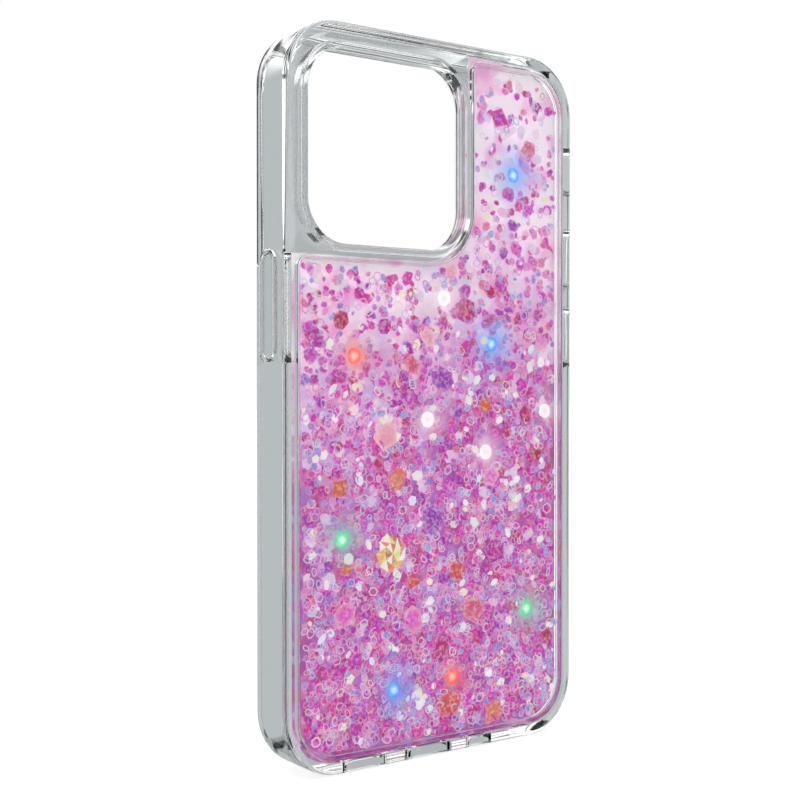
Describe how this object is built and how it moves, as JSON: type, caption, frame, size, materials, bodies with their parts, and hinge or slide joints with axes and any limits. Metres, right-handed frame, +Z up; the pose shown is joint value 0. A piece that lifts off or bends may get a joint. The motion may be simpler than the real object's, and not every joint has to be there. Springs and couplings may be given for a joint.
{
  "type": "phone case",
  "caption": "Clear bumper case for a handset with a raised camera ring, a sealed liquid-glitter back and small lights behind the glitter.",
  "frame": {"origin": "bottom centre of the case as it stands on its bottom edge", "axes": "+Z up the case's length, +X across its width, to the right when the glitter back is faced, -Y out of the glitter back, +Y out of the open side that takes the handset"},
  "size_m": [0.0768, 0.0138, 0.152],
  "materials": {
    "bumper_clear": "clear flexible plastic, glossy",
    "hard_clear": "clear hard plastic, polished",
    "button_clear": "clear flexible plastic, glossy",
    "liner_clear": "clear hard plastic, satin",
    "seal_clear": "clear adhesive seal",
    "carrier_liquid": "clear oil",
    "plug_rubber": "matte",
    "glitter_pink_foil": "translucent film",
    "glitter_magenta_foil": "translucent film",
    "glitter_lilac_foil": "translucent film",
    "glitter_rings_foil": "iridescent film",
    "glitter_cream_foil": "pearl film",
    "shard_foil": "translucent film",
    "sheet_white": "white diffusing sheet",
    "film_white": "satin film",
    "copper_track": "bare copper foil",
    "chip_black": "moulded epoxy",
    "capacitor_tan": "fired ceramic",
    "light_blue": "lit lens",
    "light_red": "lit lens",
    "light_green": "lit lens",
    "light_white": "lit lens"
  },
  "bodies": {
    "case": {"bumper_frame": "bumper_clear", "camera_ring": "hard_clear", "outer_window": "hard_clear", "chamber_wall": "seal_clear", "liquid": "carrier_liquid", "inner_panel": "hard_clear", "fill_plug": "plug_rubber", "glitter_shards": "shard_foil", "glitter_pink": "glitter_pink_foil", "glitter_magenta": "glitter_magenta_foil", "glitter_lilac": "glitter_lilac_foil", "glitter_rings": "glitter_rings_foil", "glitter_cream": "glitter_cream_foil", "light_sheet": "sheet_white", "circuit_film": "film_white", "feed_tracks": "copper_track", "antenna_coil": "copper_track", "flasher_chip": "chip_black", "rectifier_diode": "chip_black", "storage_capacitor": "capacitor_tan", "liner_shell": "liner_clear", "led_1": "light_blue", "led_2": "light_blue", "led_3": "light_blue", "led_4": "light_red", "led_5": "light_red", "led_6": "light_green", "led_7": "light_green", "led_8": "light_white", "led_9": "light_white", "led_10": "light_white", "led_11": "light_white"},
    "power_button": {"power_button_cover": "button_clear"},
    "volume_up_button": {"volume_up_cover": "button_clear"},
    "volume_down_button": {"volume_down_cover": "button_clear"}
  },
  "joints": [
    {"name": "power_button_press", "type": "slide", "parent": "case", "child": "power_button", "axis": [1, 0, 0], "range_m": [0, 0.00035], "stiffness_N_per_m": 3000},
    {"name": "volume_up_press", "type": "slide", "parent": "case", "child": "volume_up_button", "axis": [-1, 0, 0], "range_m": [0, 0.00035], "stiffness_N_per_m": 3000},
    {"name": "volume_down_press", "type": "slide", "parent": "case", "child": "volume_down_button", "axis": [-1, 0, 0], "range_m": [0, 0.00035], "stiffness_N_per_m": 3000}
  ]
}
